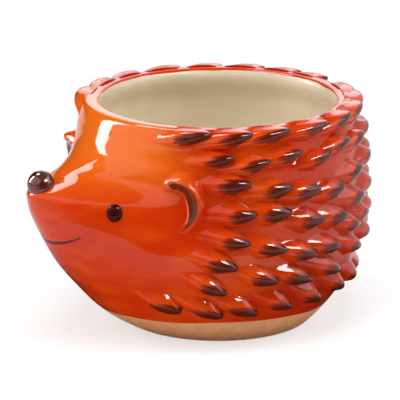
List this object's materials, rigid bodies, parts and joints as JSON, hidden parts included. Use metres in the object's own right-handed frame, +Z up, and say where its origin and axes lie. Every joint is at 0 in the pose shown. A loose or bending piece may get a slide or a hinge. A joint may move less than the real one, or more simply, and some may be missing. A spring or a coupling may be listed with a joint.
{
  "type": "animal planter",
  "caption": "Hedgehog-shaped glazed ceramic plant pot with rows of raised quills, an open round mouth and a drain hole with a lift-out rubber plug.",
  "frame": {"origin": "centre of the foot ring on the ground, on the axis of the round pot", "axes": "+Z up along the pot's axis, the face looks along -Y, the animal's left side is +X"},
  "size_m": [0.1838, 0.2235, 0.136],
  "materials": {
    "body_glaze": "glossy orange glaze outside, cream glaze inside, bare tan foot",
    "quill_glaze": "glossy red-orange glaze with brown brushed tips",
    "ear_glaze": "glossy orange glaze with a brown brushed hollow",
    "dark_glaze": "glossy dark brown glaze",
    "plug_rubber": "matt black rubber"
  },
  "bodies": {
    "pot": {"pot_body": "body_glaze", "nose": "dark_glaze", "eye_left": "dark_glaze", "eye_right": "dark_glaze", "ear_left": "ear_glaze", "ear_right": "ear_glaze", "quill_row_1": "quill_glaze", "quill_row_2": "quill_glaze", "quill_row_3": "quill_glaze", "quill_row_4": "quill_glaze", "quill_row_5": "quill_glaze", "quill_row_6": "quill_glaze", "quill_row_7": "quill_glaze", "quill_row_8": "quill_glaze"},
    "plug": {"drain_plug": "plug_rubber"}
  },
  "joints": [
    {"name": "plug_lift", "type": "slide", "parent": "pot", "child": "plug", "axis": [0, 0, 1], "range_m": [0, 0.15]}
  ]
}
